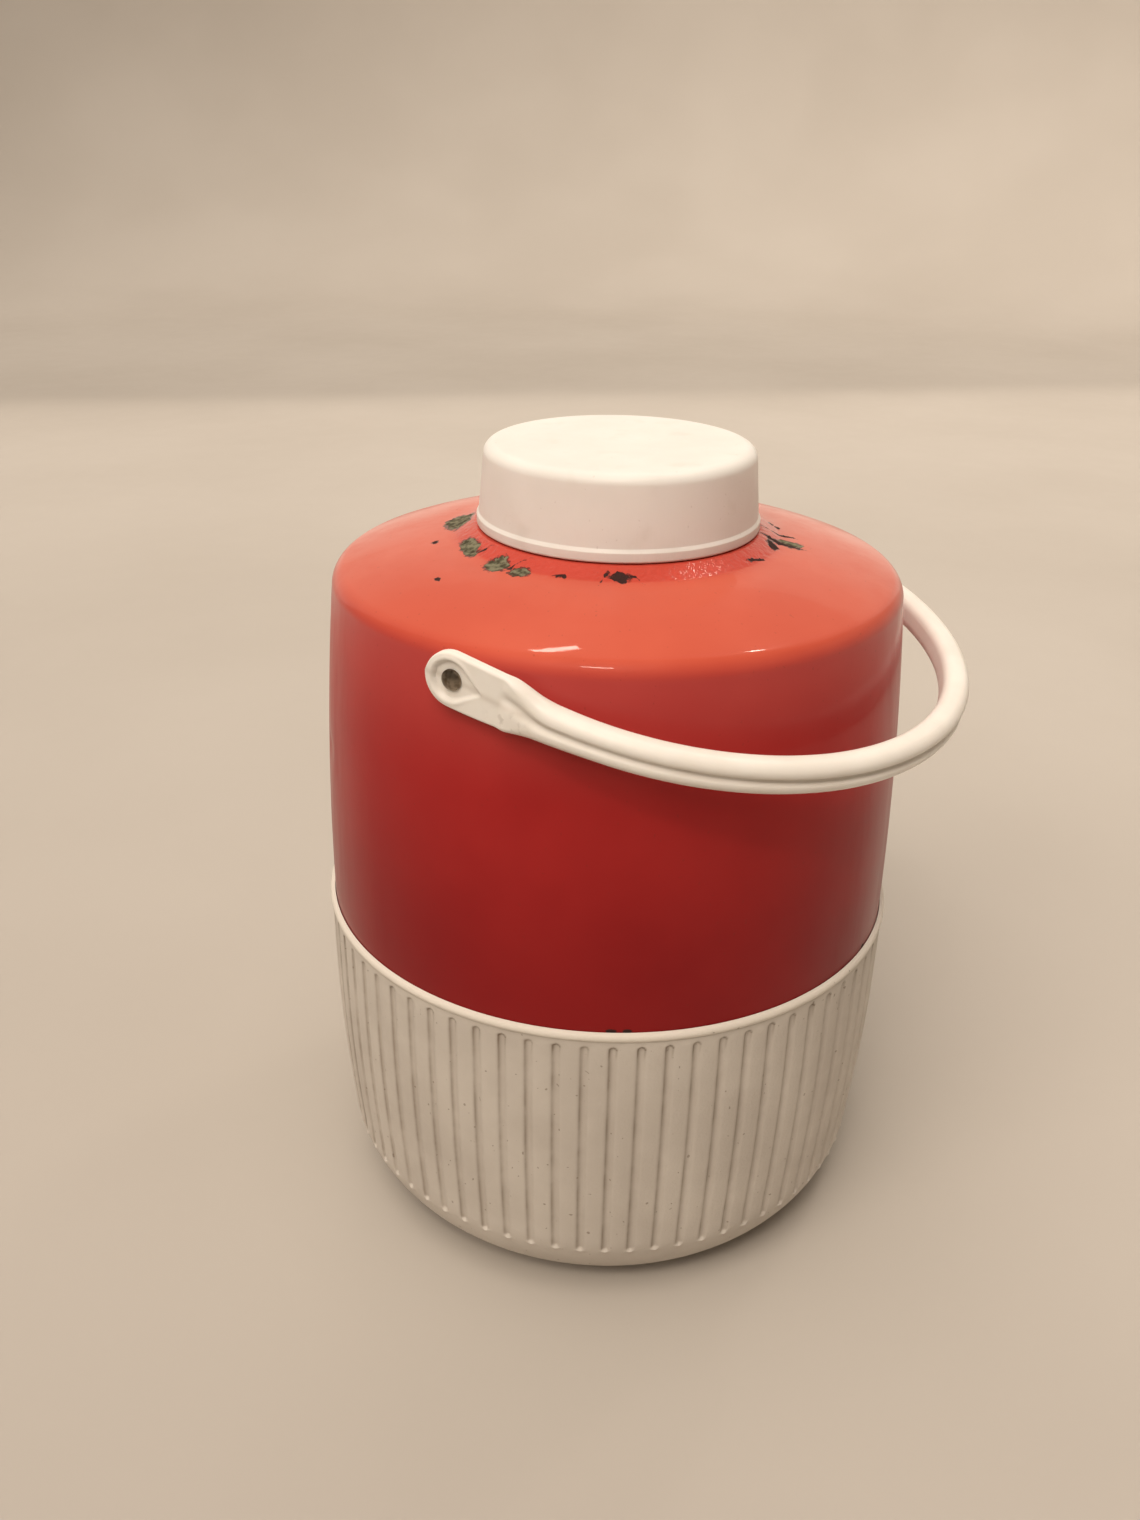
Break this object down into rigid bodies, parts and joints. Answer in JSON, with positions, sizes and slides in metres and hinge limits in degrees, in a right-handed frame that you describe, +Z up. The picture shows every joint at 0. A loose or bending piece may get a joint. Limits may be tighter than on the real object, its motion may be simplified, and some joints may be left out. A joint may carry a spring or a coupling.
{
  "type": "insulated picnic jug",
  "caption": "Foam-insulated drinks jug: enamelled steel shell on a fluted plastic base, screw-in stopper, screw-on drinking cup and a swinging bail handle.",
  "frame": {"origin": "on the jug's axis, in the plane of the foot ring that it stands on", "axes": "+Z up along the jug's axis; the handle's two rivets lie along X; at rest the handle hangs towards -Y"},
  "size_m": [0.217, 0.2353, 0.2956],
  "materials": {
    "red_enamel": "gloss",
    "base_plastic": "satin",
    "cup_plastic": "satin",
    "handle_plastic": "satin",
    "white_plastic": "satin",
    "bottle_plastic": "satin",
    "washer_plastic": "satin",
    "foam": "matte",
    "seal_rubber": "matte",
    "rivet_steel": "satin"
  },
  "bodies": {
    "jug": {"outer_shell": "red_enamel", "base_cup": "base_plastic", "seam_seal": "seal_rubber", "inner_bottle": "bottle_plastic", "bottle_seal": "seal_rubber", "insulation_base": "foam", "insulation_sleeve": "foam", "insulation_shoulder": "foam", "neck_ring": "white_plastic", "neck_gasket": "seal_rubber", "handle_rivets": "rivet_steel", "spacer_washer_right": "washer_plastic", "spacer_washer_left": "washer_plastic", "backing_plate_right": "rivet_steel", "backing_plate_left": "rivet_steel"},
    "stopper_slider": {"stopper_gasket": "seal_rubber"},
    "stopper": {"stopper_plug": "white_plastic", "stopper_cap": "white_plastic", "stopper_foam": "foam"},
    "cup_slider": {"cup_seal": "seal_rubber"},
    "cup_body": {"cup": "cup_plastic"},
    "bail": {"handle": "handle_plastic"}
  },
  "joints": [
    {"name": "bail_swing", "type": "hinge", "parent": "jug", "child": "bail", "pos_m": [0, 0, 0.2445], "axis": [-1, 0, 0], "range_deg": [0, 204.6]},
    {"name": "stopper_turn", "type": "hinge", "parent": "stopper_slider", "child": "stopper", "pos_m": [0, 0, 0.282], "axis": [0, 0, 1], "range_deg": [0, 1350]},
    {"name": "stopper_rise", "type": "slide", "parent": "jug", "child": "stopper_slider", "axis": [0, 0, 1], "range_m": [0, 0.0451]},
    {"name": "cup_turn", "type": "hinge", "parent": "cup_slider", "child": "cup_body", "pos_m": [0, 0, 0.282], "axis": [0, 0, 1], "range_deg": [0, 720]},
    {"name": "cup_rise", "type": "slide", "parent": "stopper", "child": "cup_slider", "axis": [0, 0, 1], "range_m": [0, 0.0241]}
  ],
  "couplings": [
    {"joint": "stopper_rise", "follows": "stopper_turn", "m_per_rad": 0.0019099},
    {"joint": "cup_rise", "follows": "cup_turn", "m_per_rad": 0.0019099}
  ]
}
